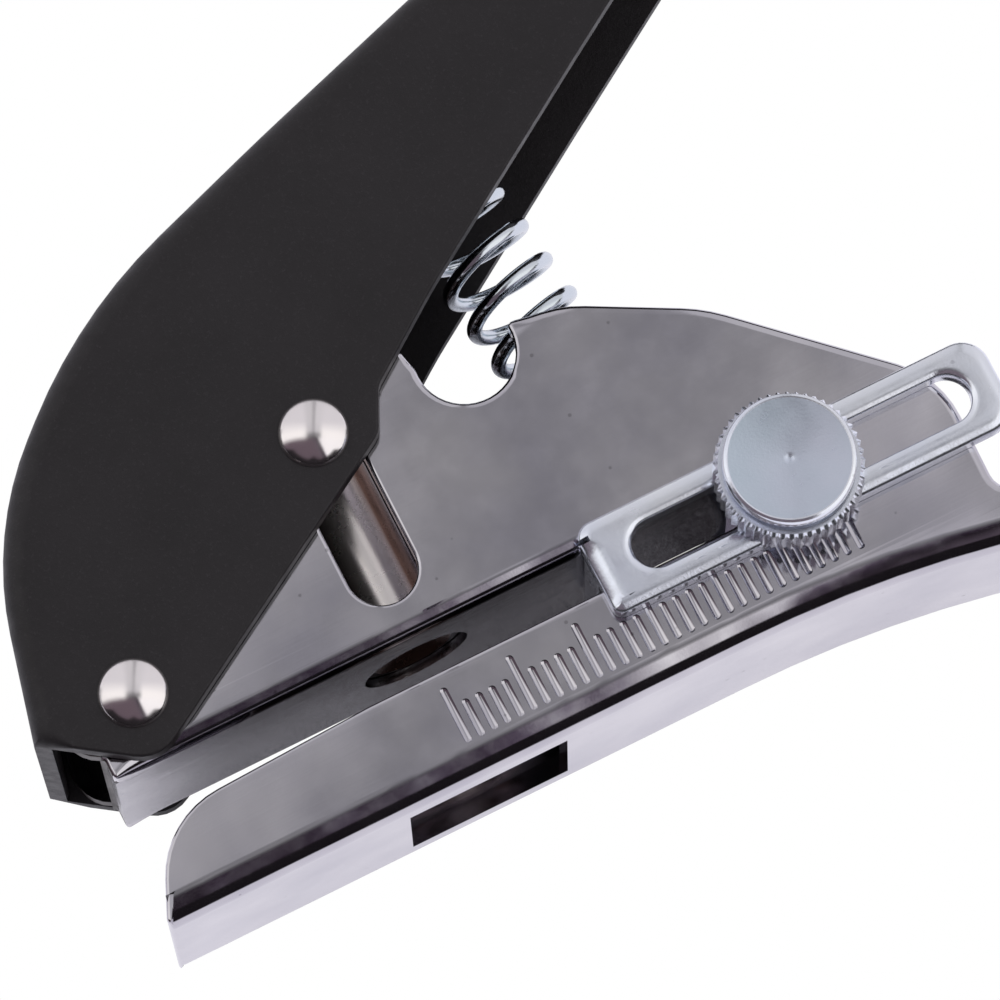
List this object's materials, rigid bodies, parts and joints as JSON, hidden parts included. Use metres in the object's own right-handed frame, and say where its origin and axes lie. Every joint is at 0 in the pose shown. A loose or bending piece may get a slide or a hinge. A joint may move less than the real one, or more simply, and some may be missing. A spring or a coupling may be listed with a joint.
{
  "type": "single-die hole punch plier",
  "caption": "Hand punch plier with a folded chrome body, a black lever, a sprung punch rod, and a sliding edge stop held by a knurled thumb screw.",
  "frame": {"origin": "on the punch axis, at the anvil surface of the lower jaw, midway between the side plates", "axes": "+X from the nose towards the handles, along the jaws; +Y from the lower jaw towards the lever, along the punch rod; +Z across the tool towards the thumb screw's side, which faces up when the tool lies down"},
  "size_m": [0.1472, 0.1024, 0.0271],
  "materials": {
    "chrome_body": "bright chrome plate on folded steel sheet",
    "black_powder": "fine satin black powder coat",
    "nickel_rivet": "nickel plated, domed rivet heads",
    "polished_steel": "ground and polished tool steel",
    "plain_steel": "blackened steel, oiled",
    "zinc_plate": "blue-white zinc plate",
    "zinc_spring": "zinc plated spring wire"
  },
  "bodies": {
    "frame": {"body_shell": "chrome_body", "jaw_floor": "chrome_body", "anvil_bar": "plain_steel", "die_bush": "polished_steel", "punch_guide": "plain_steel", "guide_bridge": "plain_steel", "clinch_nut": "zinc_plate", "lower_spring_peg": "plain_steel", "return_spring": "zinc_spring"},
    "punch": {"punch_rod": "polished_steel"},
    "lever": {"lever_channel": "black_powder", "drive_rivet": "nickel_rivet", "pivot_rivet": "nickel_rivet", "upper_spring_peg": "black_powder"},
    "stop": {"stop_bracket": "zinc_plate"},
    "screw": {"thumb_screw": "zinc_plate"}
  },
  "joints": [
    {"name": "punch_slide", "type": "slide", "parent": "frame", "child": "punch", "axis": [0, -1, 0], "range_m": [0, 0.008]},
    {"name": "lever_swing", "type": "hinge", "parent": "punch", "child": "lever", "pos_m": [0, 0.0185, 0], "axis": [0, 0, -1], "range_deg": [0, 22.25], "stiffness_Nm_per_rad": 0.6, "springref_deg": -11.46, "deforming": ["return_spring"]},
    {"name": "stop_slide", "type": "slide", "parent": "frame", "child": "stop", "axis": [1, 0, 0], "range_m": [-0.0092, 0.0088]},
    {"name": "screw_turn", "type": "hinge", "parent": "frame", "child": "screw", "pos_m": [0.0275, 0.00105, 0.013], "axis": [0, 0, 1], "range_deg": [0, 360]}
  ],
  "couplings": [
    {"joint": "punch_slide", "follows": "lever_swing", "m_per_rad": 0.020597}
  ]
}
